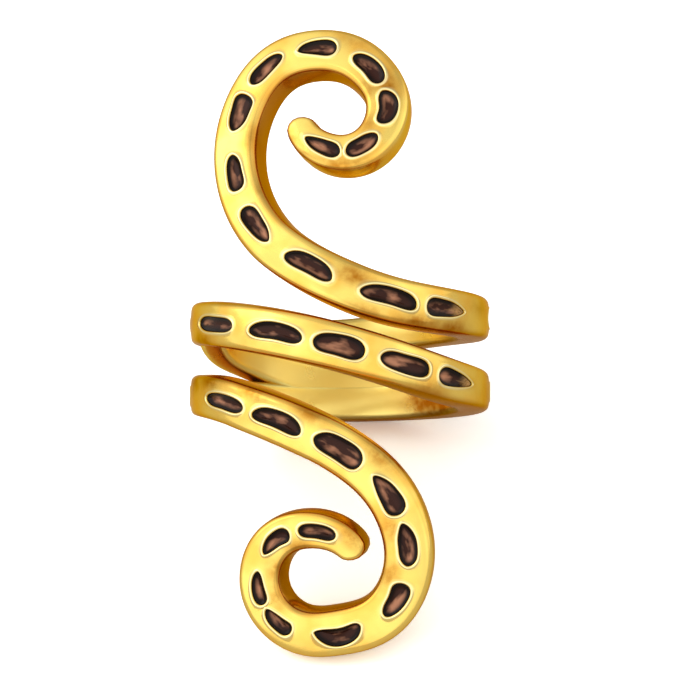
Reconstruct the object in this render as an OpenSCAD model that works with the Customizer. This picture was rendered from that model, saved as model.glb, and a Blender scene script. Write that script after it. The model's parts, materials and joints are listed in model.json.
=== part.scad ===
// Hair ring for a braid or a loc, cast in one piece of gold-coloured metal.
// One flat strip starts in a scroll above the ring, comes down across the front, winds twice round
// the braid and ends in a second scroll below. At the back a slanting bar closes the middle turn
// into a ring. A row of dash-shaped recesses in the outer face holds dark enamel.
// Lengths are millimetres and angles are degrees.

/* [Ring] */
// Outer diameter of the ring round the braid
ring_d = 19.2; // [17:0.1:23]
// Height of the upper turn's middle above the ring's own middle
upper_turn_h = 2.35; // [2.1:0.05:3.2]
// Depth of the lower turn's middle below the ring's own middle
lower_turn_h = 2.35; // [2.1:0.05:3.2]

/* [Strip] */
// Full width of the strip
strip_w = 3.1; // [2.6:0.05:3.3]
// Thickness of the strip
strip_t = 2.3; // [1.8:0.05:2.7]
// Radius of the strip's long edges
edge_r = 0.5; // [0.25:0.05:0.6]

/* [Scrolls] */
// Height of the upper scroll's eye above the ring's middle
upper_eye_h = 15.2; // [13:0.1:18]
// Depth of the lower scroll's eye below the ring's middle
lower_eye_h = 14.5; // [13:0.1:18]
// Distance of both eyes to the right of the ring's axis
eye_side = 1.6; // [0:0.1:2.5]
// Radius of the upper scroll at its top
upper_scroll_r = 3.7; // [3.3:0.1:4.3]
// Radius of the lower scroll, on the same table of shares
lower_scroll_r = 3.7; // [3.3:0.1:4.3]
// Radius of the arch that leans both scrolls back
arch_r = 54; // [40:1:120]
// Plan radius of the scrolls' faces, which are flatter than the ring
flat_r = 30; // [20:1:80]

/* [Dashes] */
// Length of a full-size dash
dash_l = 3.5; // [2.6:0.05:3.6]
// Width of a full-size dash
dash_w = 1.45; // [0.9:0.05:1.6]
// Depth of the recess under each dash
dash_depth = 0.5; // [0.3:0.05:0.8]
// Gap between the enamel and its recess
dash_gap = 0.04; // [0.03:0.01:0.08]
// How far the enamel lies below the metal's face
dash_sunk = 0.08; // [0.05:0.01:0.15]

/* [Hidden] */
mid_r = (ring_d - strip_t) / 2;
half_t = strip_t / 2;
// The strip leaves the ring's roundness between these two heights
wrap_h = 0.41 * (ring_d / 2);
flat_h = 10;
// Below the first of these heights the strip stands upright, above the second it follows the arch
lean_from_h = 2.5;
lean_full_h = 5;
path_step = 6;

TURN = 0;
SHARE = 1;
REACH = 2;
// Upper scroll: turn about the eye from the tip to the ring, and the radius there as a share of
// upper_scroll_r plus a share of the reach from the eye down to the ring
UPPER_SCROLL = [
    [-159, 0.58, 0], [-102, 0.75, 0], [-49, 1, 0], [-4, 0.98, 0], [47, 0.86, 0], [106, 1, 0],
    [146, 1.33, 0], [180, 1.56, 0], [212, 1.25, 0.24], [237, 0.7, 0.58], [264, 0, 1]
];
// Lower scroll: the same turned half round, with shares of lower_scroll_r and of its own reach
LOWER_SCROLL = [
    [-145, 0.65, 0], [-78, 0.89, 0], [-35, 1.17, 0], [7, 1.25, 0], [35, 1.14, 0], [97, 0.83, 0],
    [165, 1.15, 0], [204, 1.2, 0.11], [233, 0.95, 0.32], [264, 0.3, 0.71], [288, 0, 1.05]
];
// The arms meet the ring at these shares of the turns' heights
upper_arm_share = 2.1;
lower_arm_share = 1.88;
upper_reach = upper_eye_h - upper_arm_share * upper_turn_h;
lower_reach = lower_eye_h - lower_arm_share * lower_turn_h;
// Turns round the braid: angle from the front, height as a share of the turn's own height
UPPER_TURN = [
    [10, 1.95], [18, 1.7], [35, 1.3], [61, 1.08], [108, 1.03], [155, 1.02], [200, 0.77], [245, 0.82],
    [288, 0.9], [322, 0.72], [353, 0.38], [378, 0.0]
];
LOWER_TURN = [
    [378, 0.0], [404, -0.46], [430, -0.82], [468, -0.93], [558, -0.98], [648, -1.03], [683, -1.3],
    [700, -1.62]
];
// Width of the strip at shares of the way from the upper tip to the lower tip
WIDTHS = [
    [0, 0.6], [0.02, 0.77], [0.06, 0.93], [0.12, 0.97], [0.2, 1], [0.24, 0.95], [0.28, 0.87],
    [0.35, 0.78], [0.42, 0.82], [0.46, 0.93], [0.5, 1], [0.54, 0.93], [0.58, 0.83], [0.65, 0.78],
    [0.72, 0.8], [0.76, 0.9], [0.8, 1], [0.87, 1.02], [0.94, 0.94], [0.98, 0.77], [1, 0.6]
];

function mix(a, b, t) = a + (b - a) * t;
function ease(t) = let (c = min(max(t, 0), 1)) c * c * (3 - 2 * c);

// Smooth curve through the rows of a table, whose keys rise
function row_at(rows, x, i = 0) =
    i >= len(rows) - 2 || x < rows[i + 1][0] ? i : row_at(rows, x, i + 1);
function row_slope(rows, i, column) =
    let (a = max(i - 1, 0), b = min(i + 1, len(rows) - 1))
    (rows[b][column] - rows[a][column]) / (rows[b][TURN] - rows[a][TURN]);
function smooth(rows, x, column = SHARE) =
    let (i = row_at(rows, x), w = rows[i + 1][TURN] - rows[i][TURN], t = (x - rows[i][TURN]) / w,
         a = rows[i][column], b = rows[i + 1][column],
         da = row_slope(rows, i, column) * w, db = row_slope(rows, i + 1, column) * w)
    a + t * da + t * t * (3 * (b - a) - 2 * da - db) + t * t * t * (2 * (a - b) + da + db);

// The outer face: round the braid it is a cylinder, and towards the scrolls it is flatter and leans
function lean_share(z) = ease((abs(z) - lean_from_h) / (lean_full_h - lean_from_h));
function lean_back(z) = (arch_r - sqrt(arch_r * arch_r - z * z)) * lean_share(z);
function lean_slope(z) = z / sqrt(arch_r * arch_r - z * z) * lean_share(z);
function plan_r(z) =
    1 / mix(1 / mid_r, 1 / flat_r, ease((abs(z) - wrap_h) / (flat_h - wrap_h)));

// A station of the path is its middle point and the outward direction of its face
function scroll_station(x, z) =
    let (r = plan_r(z), back = sqrt(r * r - x * x))
    [[x, lean_back(z) - mid_r + r - back, z], [x / back, -1, lean_slope(z)]];
function turn_station(a, z) =
    [[mid_r * sin(a), lean_back(z) - mid_r * cos(a), z], [sin(a), -cos(a), lean_slope(z) * cos(a)]];
function unit(v) = v / norm(v);

upper_scroll = [
    for (a = [UPPER_SCROLL[0][TURN] : path_step : UPPER_SCROLL[len(UPPER_SCROLL) - 1][TURN]])
        let (r = upper_scroll_r * smooth(UPPER_SCROLL, a)
                 + upper_reach * smooth(UPPER_SCROLL, a, REACH))
        scroll_station(eye_side + r * cos(a), upper_eye_h + r * sin(a))
];
lower_scroll = [
    for (a = [LOWER_SCROLL[len(LOWER_SCROLL) - 1][TURN] : -path_step : LOWER_SCROLL[0][TURN]])
        let (r = lower_scroll_r * smooth(LOWER_SCROLL, a)
                 + lower_reach * smooth(LOWER_SCROLL, a, REACH))
        scroll_station(eye_side - r * cos(a), -lower_eye_h - r * sin(a))
];
function turn_height(a) =
    a < LOWER_TURN[0][TURN] ? upper_turn_h * smooth(UPPER_TURN, a) : lower_turn_h * smooth(LOWER_TURN, a);
turns = [
    for (a = [UPPER_TURN[0][TURN] : path_step : LOWER_TURN[len(LOWER_TURN) - 1][TURN]])
        turn_station(a, turn_height(a))
];
rough_path = concat(upper_scroll, turns, lower_scroll);
last = len(rough_path) - 1;
function total(list, i = 0) = i >= len(list) ? 0 : list[i] + total(list, i + 1);
function mean(points, axis) = total([for (p = points) p[axis]]) / len(points);
path = [
    for (i = [0 : last])
        let (k = min(2, i, last - i))
        [for (part = [0, 1]) let (around = [for (j = [i - k : i + k]) rough_path[j][part]])
            [for (axis = [0 : 2]) mean(around, axis)]]
];

// Distance from the upper tip to each station, and from it the path as a function of distance
way = [
    for (i = 0, s = 0; i <= last;
         s = s + (i < last ? norm(path[i + 1][0] - path[i][0]) : 0), i = i + 1) s
];
path_l = way[last];
tracks = [
    for (part = [0, 1]) [for (axis = [0 : 2]) [for (i = [0 : last]) [way[i], path[i][part][axis]]]]
];
function along(s, part) = [for (axis = [0 : 2]) lookup(s, tracks[part][axis])];

// Right-handed frame of the strip at a distance: middle point, direction across, direction outward
probe = 0.2;
function frame_of(point, forward, outward) =
    let (across = unit(cross(outward, forward))) [point, across, unit(cross(forward, across))];
function frame(s) =
    frame_of(along(s, 0), along(s + probe, 0) - along(s - probe, 0), along(s, 1));
function place(frame, across, out) = frame[0] + across * frame[1] + out * frame[2];

// Half width of the strip at a distance, rounded off at the tips
tip_r = WIDTHS[0][SHARE] * strip_w / 2;
function round_off(s) = let (c = 1 - min(s, path_l - s, tip_r) / tip_r) sqrt(1 - c * c);
function half_w(s) = smooth(WIDTHS, s / path_l) * strip_w / 2 * round_off(s);

// Cross section of the strip as [across, out] pairs: rounded edges, and four points in the face
// that stay level between the dashes and sink with the floor of a recess
slant = 0.12;
lip = 0.1;
edge_share = 0.32;
level_share = 0.3;
function edge(half) = min(edge_r, half * edge_share);
function section(half, dash_half, dash_mid, sunk) =
    let (e = edge(half), w = half - e, t = half_t - e, b = e * cos(45))
    [
        [half, t], [w + b, t + b], [w, half_t],
        [dash_mid + dash_half, half_t], [dash_mid + dash_half - slant, half_t - sunk],
        [dash_mid - dash_half + slant, half_t - sunk], [dash_mid - dash_half, half_t],
        [-w, half_t], [-w - b, t + b], [-half, t],
        [-half, -t], [-w - b, -t - b], [-w, -half_t], [w, -half_t], [w + b, -t - b], [half, -t]
    ];

// Solid through rings of points, each ring with as many points as the next
function ring_faces(rings, n) = concat(
    [[for (k = [0 : n - 1]) k]],
    [for (i = [0 : rings - 2], k = [0 : n - 1])
        let (a = i * n + k, b = i * n + (k + 1) % n) each [[a, a + n, b], [b, a + n, b + n]]],
    [[for (k = [n - 1 : -1 : 0]) (rings - 1) * n + k]]
);
module loft(rings) {
    n = len(rings[0]);
    polyhedron([for (ring = rings) each ring], ring_faces(len(rings), n), convexity = 10);
}

// Dashes from the upper tip to the lower tip. STEP is the way from the dash before as a share of the
// pitch, LONG and WIDE are shares of the full size, BEND curves the outline like a bean and TAPER
// makes one end wider
STEP = 0;
LONG = 1;
WIDE = 2;
BEND = 3;
TAPER = 4;
UPPER_DASHES = [
    [0.72, 0.68, 0.72, 0.1, 0.1], [0.68, 0.66, 0.8, 0.1, 0], [0.75, 0.69, 0.9, -0.4, 0],
    [0.76, 0.76, 0.86, -0.2, 0], [0.95, 0.74, 0.8, -0.2, -0.15], [0.9, 0.77, 0.83, 0.1, 0.1],
    [0.82, 0.7, 1, 0.2, -0.15], [1, 0.71, 0.86, 0, 0.15], [0.95, 0.83, 0.9, 0.1, -0.15],
    [1.1, 0.95, 0.93, -0.5, 0.05], [1.25, 1, 0.9, -0.4, 0], [0.97, 0.94, 0.8, 0.1, -0.25]
];
MIDDLE_DASHES = [
    [1.72, 1, 0.8, 0, 0], [1.18, 1, 0.86, 0.3, 0], [0.96, 0.89, 1.03, 0, 0], [1, 0.94, 0.93, 0, 0],
    [0.95, 0.94, 0.75, 0.1, -0.3]
];
LOWER_DASHES = [
    [1.72, 0.97, 0.76, 0, 0], [1, 1, 0.86, 0.3, -0.1], [1.05, 1, 1.1, 0.1, 0.1],
    [1.05, 0.83, 0.97, 0, 0.15], [0.83, 0.77, 0.93, 0.1, 0.25], [0.92, 0.71, 0.93, 0, -0.15],
    [1.1, 0.89, 0.93, 0.4, -0.2], [1.02, 0.62, 0.7, 0.1, 0.1], [0.62, 0.62, 0.66, 0, 0.1],
    [0.85, 0.66, 0.72, 0.1, 0], [0.73, 0.71, 0.72, 0.2, 0]
];
// The dashes of one pass behind the braid, all alike. The ring's two sides stay plain
back_dashes = 6;
side_step = 1.73;
back_step = 1.2;
BACK_DASHES = [
    for (i = [1 : back_dashes])
        [i == 1 ? side_step : back_step, 0.96, 0.86, i % 2 == 0 ? 0.3 : -0.3, 0]
];
DASHES = concat(UPPER_DASHES, BACK_DASHES, MIDDLE_DASHES, BACK_DASHES, LOWER_DASHES);
last_step = 0.8;
pitch = path_l / (total([for (row = DASHES) row[STEP]]) + last_step);
dash_at = [
    for (i = 0, s = DASHES[0][STEP]; i < len(DASHES);
         i = i + 1, s = s + (i < len(DASHES) ? DASHES[i][STEP] : 0)) s * pitch
];
// Half width of a recess along its half length, both as shares, and the rings that show it
DASH_END = [[0, 1], [0.4, 1], [0.88, 0.8], [1, 0.5]];
DASH_RINGS = [-1, -0.88, -0.4, 0.4, 0.88, 1];
ENAMEL_RINGS = [-0.85, -0.4, 0.4, 0.85];
function dash_half_l(i) = DASHES[i][LONG] * dash_l / 2;
function dash_room(s) = half_w(s) - edge(half_w(s)) - lip;
function dash_half_w(i, t) =
    let (half = DASHES[i][WIDE] * dash_w / 2 * lookup(abs(t), DASH_END) * (1 + DASHES[i][TAPER] * t))
    min(half, dash_room(dash_at[i] + t * dash_half_l(i)) - abs(dash_mid(i, t)));
function dash_mid(i, t) = DASHES[i][BEND] * dash_w * (lookup(abs(t), DASH_END) - 0.8);

function ring_at(s, dash_half, dash_mid, sunk) =
    let (f = frame(s)) [for (p = section(half_w(s), dash_half, dash_mid, sunk)) place(f, p[0], p[1])];
function plain_ring(s) = ring_at(s, max(half_w(s) * level_share, slant + lip / 4), 0, 0);
function dash_ring(i, t) =
    ring_at(dash_at[i] + t * dash_half_l(i), dash_half_w(i, t), dash_mid(i, t),
            abs(t) == 1 ? 0 : dash_depth);

// Slanting bar at the back. It leaves the pass behind the middle turn's right end and climbs to the
// left end. Its ends run on inside the strip, and its outer face lies below the floors of the recesses.
// TOP and BOTTOM are its edges as shares of the way up from the one end's height to the other's
TOP = 1;
BOTTOM = 2;
BAR = [
    [112, 0.16, -0.12], [130, 0.21, -0.13], [150, 0.36, -0.12], [175, 0.46, -0.1], [200, 0.65, -0.05],
    [220, 0.81, 0.08], [244, 0.97, 0.3], [264, 1.11, 0.45], [276, 1.14, 0.58], [288, 1.14, 0.73],
    [302, 1.1, 0.83]
];
bar_low = 468;
bar_high = 288;
bar_step = 7;
bar_inset = 0.05;
bar_edge_share = 0.3;
bar_t = strip_t - dash_depth - 3 * bar_inset;
bar_r = mid_r - half_t + bar_inset + bar_t / 2;
function bar_height(share) = mix(turn_height(bar_low), turn_height(bar_high), share);
function bar_section(half) =
    let (e = min(edge_r, bar_t * bar_edge_share), b = e * cos(45), t = bar_t / 2 - e, w = half - e)
    [
        [half, t], [w + b, t + b], [w, t + e], [-w, t + e], [-w - b, t + b], [-half, t],
        [-half, -t], [-w - b, -t - b], [-w, -t - e], [w, -t - e], [w + b, -t - b], [half, -t]
    ];
function bar_ring(a) =
    let (top = bar_height(smooth(BAR, a, TOP)), bottom = bar_height(smooth(BAR, a, BOTTOM)),
         middle = [bar_r * sin(a), -bar_r * cos(a), (top + bottom) / 2],
         f = [middle, [0, 0, 1], [sin(a), -cos(a), 0]])
    [for (p = bar_section((top - bottom) / 2)) place(f, p[0], p[1])];
module bar() {
    from = BAR[0][TURN];
    to = BAR[len(BAR) - 1][TURN];
    steps = ceil((to - from) / bar_step);
    loft([for (i = [0 : steps]) bar_ring(mix(from, to, i / steps))]);
}

TIP_ANGLES = [30, 60, 90];
tip_steps = [for (a = TIP_ANGLES) tip_r * (1 - cos(a))];
between_dashes = [
    for (i = [0 : len(DASHES) - 2])
        (dash_at[i] + dash_half_l(i) + dash_at[i + 1] - dash_half_l(i + 1)) / 2
];
strip_rings = concat(
    [for (s = tip_steps) plain_ring(s)],
    [for (i = [0 : len(DASHES) - 1]) each concat(
        [for (t = DASH_RINGS) dash_ring(i, t)],
        i < len(DASHES) - 1 ? [plain_ring(between_dashes[i])] : []
    )],
    [for (k = [len(tip_steps) - 1 : -1 : 0]) plain_ring(path_l - tip_steps[k])]
);
module band() {
    color("#d9a93c") rest() {
        loft(strip_rings);
        bar();
    }
}

// The hair ring rests leaning back, on the lower scroll's outer edge and on the edge of the lower turn
// behind the braid: the lean is the one at which the two are level. Sideways it is nearly in balance
rest_side = -5;
least_lean = 20;
most_lean = 75;
function leant(p, lean) =
    [p[0], p[1] * cos(lean) + p[2] * sin(lean), p[2] * cos(lean) - p[1] * sin(lean)];
function settled(p, lean) =
    let (q = leant(p, lean))
    [q[0] * cos(rest_side) + q[2] * sin(rest_side), q[1], q[2] * cos(rest_side) - q[0] * sin(rest_side)];
function low(points, axis, lean) = min([for (p = points) settled(p, lean)[axis]]);
function high(points, axis, lean) = max([for (p = points) settled(p, lean)[axis]]);
strip_points = [for (ring = strip_rings) each ring];
scroll_side = [for (p = strip_points) if (p[2] < -lower_eye_h) p];
turn_side = [for (p = strip_points) if (p[2] > -lower_eye_h / 2 && p[1] > 0) p];
function level_lean(from, to, tries = 20) =
    let (lean = (from + to) / 2)
    tries == 0 ? lean
    : low(scroll_side, 2, lean) < low(turn_side, 2, lean) ? level_lean(lean, to, tries - 1)
    : level_lean(from, lean, tries - 1);
rest_lean = level_lean(least_lean, most_lean);
function middle(axis) =
    (low(strip_points, axis, rest_lean) + high(strip_points, axis, rest_lean)) / 2;
module rest() {
    translate([-middle(0), -middle(1), -low(strip_points, 2, rest_lean)])
        rotate([0, rest_side, 0]) rotate([-rest_lean, 0, 0]) children();
}

function enamel_ring(i, t) =
    let (f = frame(dash_at[i] + t * dash_half_l(i)), mid = dash_mid(i, t),
         h = dash_half_w(i, t) - dash_gap, top = half_t - dash_sunk,
         floor = half_t - dash_depth + dash_gap)
    [
        place(f, mid + h - slant * dash_sunk / dash_depth, top), place(f, mid + h - slant, floor),
        place(f, mid - h + slant, floor), place(f, mid - h + slant * dash_sunk / dash_depth, top)
    ];
module enamel(i) {
    color("#3a1a12") rest() loft([for (t = ENAMEL_RINGS) enamel_ring(i, t)]);
}

function enamel_name(i) = str("enamel_", i < 9 ? "0" : "", i + 1);

band();
for (i = [0 : len(DASHES) - 1])
    enamel(i);
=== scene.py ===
import json
import math

import bpy
import numpy as np
from mathutils import Matrix, Vector


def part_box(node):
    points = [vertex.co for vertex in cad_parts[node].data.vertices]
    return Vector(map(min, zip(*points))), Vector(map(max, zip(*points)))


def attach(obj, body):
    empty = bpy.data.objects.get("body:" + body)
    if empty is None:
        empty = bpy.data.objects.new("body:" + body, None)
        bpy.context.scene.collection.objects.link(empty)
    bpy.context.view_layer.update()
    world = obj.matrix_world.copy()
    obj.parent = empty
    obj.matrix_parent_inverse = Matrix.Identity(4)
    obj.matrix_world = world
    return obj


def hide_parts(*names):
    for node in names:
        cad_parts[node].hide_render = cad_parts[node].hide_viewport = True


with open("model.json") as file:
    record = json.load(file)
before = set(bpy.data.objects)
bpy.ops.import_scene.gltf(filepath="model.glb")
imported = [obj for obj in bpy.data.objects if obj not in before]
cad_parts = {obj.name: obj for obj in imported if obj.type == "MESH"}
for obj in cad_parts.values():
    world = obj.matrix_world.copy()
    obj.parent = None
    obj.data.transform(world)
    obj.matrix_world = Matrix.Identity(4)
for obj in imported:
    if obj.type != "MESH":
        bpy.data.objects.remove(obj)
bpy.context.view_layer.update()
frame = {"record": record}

# Lengths are millimetres until a mesh is made, angles are degrees. The sizes are the model's own
MM = 0.001
RING_D = 19.2
UPPER_TURN_H = 2.35
LOWER_TURN_H = 2.35
STRIP_W = 3.1
STRIP_T = 2.3
EDGE_R = 0.5
UPPER_EYE_H = 15.2
LOWER_EYE_H = 14.5
EYE_SIDE = 1.6
UPPER_SCROLL_R = 3.7
LOWER_SCROLL_R = 3.7
ARCH_R = 54
FLAT_R = 30
DASH_L = 3.5
DASH_W = 1.45
DASH_DEPTH = 0.5

MID_R = (RING_D - STRIP_T) / 2
HALF_T = STRIP_T / 2
# Heights above and below the ring's middle between which the strip opens from the ring's curve to the
# flatter one, and between which it starts to lean back
WRAP_SHARE = 0.41
WRAP_H = WRAP_SHARE * (RING_D / 2)
FLAT_H = 10
LEAN_FROM_H = 2.5
LEAN_FULL_H = 5
PATH_STEP = 6
FULL_TURN = 360
# Turns whose place along the strip is looked up, from its first side pass to past its last back pass
TURNS_FROM = 90
TURNS_TO = 640

# Turn about the eye, radius as a share of the scroll's radius, and share of the reach to the ring
UPPER_SCROLL = [
    (-159, 0.58, 0), (-102, 0.75, 0), (-49, 1, 0), (-4, 0.98, 0), (47, 0.86, 0), (106, 1, 0),
    (146, 1.33, 0), (180, 1.56, 0), (212, 1.25, 0.24), (237, 0.7, 0.58), (264, 0, 1),
]
LOWER_SCROLL = [
    (-145, 0.65, 0), (-78, 0.89, 0), (-35, 1.17, 0), (7, 1.25, 0), (35, 1.14, 0), (97, 0.83, 0),
    (165, 1.15, 0), (204, 1.2, 0.11), (233, 0.95, 0.32), (264, 0.3, 0.71), (288, 0, 1.05),
]
# Height at which each arm reaches the ring, as a share of the turn's height
UPPER_JOIN = 2.1
LOWER_JOIN = 1.88
UPPER_REACH = UPPER_EYE_H - UPPER_JOIN * UPPER_TURN_H
LOWER_REACH = LOWER_EYE_H - LOWER_JOIN * LOWER_TURN_H
# Turns round the braid: angle from the front, height as a share of the turn's own height
UPPER_TURN = [
    (10, 1.95), (18, 1.7), (35, 1.3), (61, 1.08), (108, 1.03), (155, 1.02), (200, 0.77), (245, 0.82),
    (288, 0.9), (322, 0.72), (353, 0.38), (378, 0.0),
]
LOWER_TURN = [
    (378, 0.0), (404, -0.46), (430, -0.82), (468, -0.93), (558, -0.98), (648, -1.03), (683, -1.3),
    (700, -1.62),
]
# Width of the strip at shares of the way from the upper tip to the lower tip
WIDTHS = [
    (0, 0.6), (0.02, 0.77), (0.06, 0.93), (0.12, 0.97), (0.2, 1), (0.24, 0.95), (0.28, 0.87),
    (0.35, 0.78), (0.42, 0.82), (0.46, 0.93), (0.5, 1), (0.54, 0.93), (0.58, 0.83), (0.65, 0.78),
    (0.72, 0.8), (0.76, 0.9), (0.8, 1), (0.87, 1.02), (0.94, 0.94), (0.98, 0.77), (1, 0.6),
]

# Dashes from the upper tip to the lower tip: step from the dash before as a share of the pitch,
# length and width as shares of the full size, bend towards the strip's side, taper, and how blunt
# the first and the last end are, from 0 for a point to 1 for a squared end
UPPER_DASHES = [
    (0.72, 0.72, 0.66, 0.3, 0.25, 0.1, 0.6), (0.68, 0.64, 0.78, 0.1, 0, 0.6, 0.3),
    (0.75, 0.66, 0.86, -0.7, 0.02, 0.5, 0.2), (0.76, 0.76, 0.76, -0.2, -0.08, 0.6, 0.3),
    (0.95, 0.72, 0.72, -0.2, -0.2, 0.7, 0.1), (0.9, 0.75, 0.72, 0.1, 0.08, 0.4, 0.5),
    (0.82, 0.7, 0.92, 0.35, -0.2, 1, 0.4), (1, 0.68, 0.74, 0.1, 0.18, 0.5, 0.9),
    (0.95, 0.8, 0.8, 0.2, -0.2, 0.8, 0.3), (1.1, 0.92, 0.8, 0.7, 0.02, 0.5, 0.5),
    (1.25, 0.98, 0.78, 0.6, 0.06, 0.5, 0.9), (0.97, 0.86, 0.74, 0.1, -0.38, 0.8, 0.1),
]
MIDDLE_DASHES = [
    (1.72, 1, 0.68, 0, 0.02, 0.6, 0.7), (1.18, 0.97, 0.76, 0.5, 0.06, 0.5, 0.6),
    (0.96, 0.86, 0.95, 0.2, 0.02, 0.5, 0.8), (1, 0.9, 0.84, 0, 0.04, 0.6, 1),
    (0.95, 0.86, 0.7, 0.1, -0.4, 0.8, 0.1),
]
LOWER_DASHES = [
    (1.72, 0.95, 0.66, 0, 0.03, 0.4, 0.7), (1, 0.95, 0.78, 0.7, 0.05, 0.4, 0.6),
    (1.05, 0.96, 1.0, 0.3, 0.1, 0.5, 0.8), (1.05, 0.81, 0.88, 0, 0.25, 0, 0.7),
    (0.83, 0.77, 0.84, 0.1, 0.1, 0, 0.3), (0.92, 0.69, 0.8, 0.05, -0.2, 0.8, 0.4),
    (1.1, 0.87, 0.82, 1.1, -0.1, 0.3, 0.2), (1.02, 0.6, 0.66, 0.2, -0.15, 0.9, 0.2),
    (0.62, 0.62, 0.62, 0, -0.15, 0.8, 0.1), (0.85, 0.64, 0.66, 0.1, 0.18, 0.1, 0.8),
    (0.73, 0.69, 0.64, 0.1, 0, 0.7, 0.7),
]
# Behind the braid they are all alike, and bend up and down in turn. The first comes after a plain side
SIDE_STEP = 1.73
BACK_STEP = 1.2
BACK_COUNT = 6
BACK_BEND = 0.3
BACK_DASHES = [
    (SIDE_STEP if i == 0 else BACK_STEP, 0.96, 0.86, BACK_BEND if i % 2 == 0 else -BACK_BEND, 0, 0.6, 0.6)
    for i in range(BACK_COUNT)
]
DASHES = UPPER_DASHES + BACK_DASHES + MIDDLE_DASHES + BACK_DASHES + LOWER_DASHES
LAST_STEP = 0.8
# Where the long sides of a dash's outline end, as a share of its half length
DASH_CORNER = 0.8
# Exponents of an outline's pointed end, and how much a squared end adds to them
END_POINTED = (2.1, 1.6)
END_SQUARED = (2.6, 0.5)
# Bend of a dash at its middle and the other way at its ends, as shares of the full width
BEND_MIDDLE = 0.14
BEND_ENDS = 0.26
# Unevenness of an outline: waves round it, shift from one dash to the next, and size as a share
WOBBLES = [(3, 2.1, 0.025), (5, 1.3, 0.015)]
# A dash keeps this far from the strip's rounded edge, and is held there the harder the higher the power
DASH_MARGIN = 0.06
HOLD_POWER = 4

# Finish of the strip's surface, and the shade painted on it
CROWN = 0.05
SIDE_CROWN = 0.03
EDGE_SHARE = 0.32
LIP_W = 0.2
LIP_H = 0.05
# Spots of painted shade on the outer face: number of the dash before it and the share of the way to the
# next one, place across as a share of the half width, and strength
SHADE_SPOTS = [
    (0.5, -0.8, 0.6), (1.5, -0.7, 0.8), (2.5, 0.7, 0.6), (3.5, -0.2, 0.9), (3.6, 0.7, 0.6),
    (4.5, -0.6, 0.4), (7.4, 0.8, 0.5), (8.5, 0.8, 0.4), (10.55, 0.4, 0.9), (10.8, -0.8, 0.6),
    (11.5, -0.8, 0.9), (12.1, -0.8, 0.9), (12.5, 0.3, 0.4), (18.3, 0.2, 0.6), (18.8, -0.8, 0.8),
    (22.5, -0.8, 0.6), (29.4, 0.6, 0.9), (29.8, 0.8, 0.9), (30.5, 0.8, 0.8), (31.4, 0.8, 0.8),
    (32.5, 0.7, 0.7), (33.6, -0.5, 0.7), (34.6, -0.6, 0.7), (37.5, -0.8, 0.7), (38.5, -0.8, 0.7),
    (39.5, -0.8, 0.8), (40.6, 0.5, 0.7),
]
# The same on the inner face: angle round the braid, place across, strength
INNER_SHADE_SPOTS = [(496, 0.0, 1.0), (507, -0.2, 0.8)]
# Half the length and width of a spot, how much larger it is on the inner face, and its full strength
SHADE_SPOT_LONG = 1.2
SHADE_SPOT_ACROSS = 0.6
INNER_SPOT = 2
SHADE_SPOT_FULL = 1.2
# Side walls that stay pale, left almost without their painted shade: numbers of the first and last dash
# beside them, and which side
PALE_WALLS = [(0.6, 5, -1), (31.5, 38, 1)]
PALE_SHARE = 0.85
# Painted shade in the rounded edges of the inner face
EDGE_SHADE = 0.45
# Dashes whose enamel is worn thin at its last end, and how much. The wear grows from the middle on by
# the slope times the share of the half length, less the start
WORN = {12: 0.9, 23: 0.9}
WORN_SLOPE = 1.6
WORN_START = 0.35

# How the path is smoothed: neighbours of a station on each side, and the blur along it
NEIGHBOURS = 2
SOFTENING = 0.35

# How fine the meshes are
CELL_LONG = 22
CELL_ACROSS = 8
FILLET_STEPS = 6
SIDE_STEPS = 4
FINE_STEP = 0.05


def smooth(rows, x, column=1):
    """A table's column at x, on a smooth curve through its rows."""
    rows = np.array(rows, float)
    x = np.asarray(x, float)
    keys, values = rows[:, 0], rows[:, column]
    after = np.minimum(np.arange(len(keys)) + 1, len(keys) - 1)
    before = np.maximum(np.arange(len(keys)) - 1, 0)
    slopes = (values[after] - values[before]) / (keys[after] - keys[before])
    i = np.clip(np.searchsorted(keys, x, side="right") - 1, 0, len(keys) - 2)
    w = keys[i + 1] - keys[i]
    t = (x - keys[i]) / w
    a, b, da, db = values[i], values[i + 1], slopes[i] * w, slopes[i + 1] * w
    return a + t * da + t**2 * (3 * (b - a) - 2 * da - db) + t**3 * (2 * (a - b) + da + db)


def ease(t):
    c = np.clip(t, 0, 1)
    return c * c * (3 - 2 * c)


def ramp(x, start, end):
    return ease((x - start) / (end - start))


def unit(v):
    return v / np.linalg.norm(v, axis=-1, keepdims=True)


# The outer face: round the braid it is a cylinder, and towards the scrolls it is flatter and leans
def lean_share(z):
    return ramp(abs(z), LEAN_FROM_H, LEAN_FULL_H)


def lean_back(z):
    return (ARCH_R - math.sqrt(ARCH_R**2 - z * z)) * lean_share(z)


def lean_slope(z):
    return z / math.sqrt(ARCH_R**2 - z * z) * lean_share(z)


def plan_r(z):
    """Radius of the strip in plan, which opens from the ring's to the flatter scrolls'."""
    return 1 / (1 / MID_R + (1 / FLAT_R - 1 / MID_R) * ramp(abs(z), WRAP_H, FLAT_H))


def scroll_station(x, z):
    r = plan_r(z)
    back = math.sqrt(r * r - x * x)
    return [x, lean_back(z) - MID_R + r - back, z, x / back, -1, lean_slope(z)]


def turn_height(a):
    if a < LOWER_TURN[0][0]:
        return UPPER_TURN_H * float(smooth(UPPER_TURN, a))
    return LOWER_TURN_H * float(smooth(LOWER_TURN, a))


def turn_station(a):
    z, sin, cos = turn_height(a), math.sin(math.radians(a)), math.cos(math.radians(a))
    return [MID_R * sin, lean_back(z) - MID_R * cos, z, sin, -cos, lean_slope(z) * cos]


def angles_between(first, last):
    """Angles from the first to the last, up or down, PATH_STEP apart."""
    step = math.copysign(PATH_STEP, last - first)
    return np.arange(first, last + 0.01 * step, step)


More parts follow.
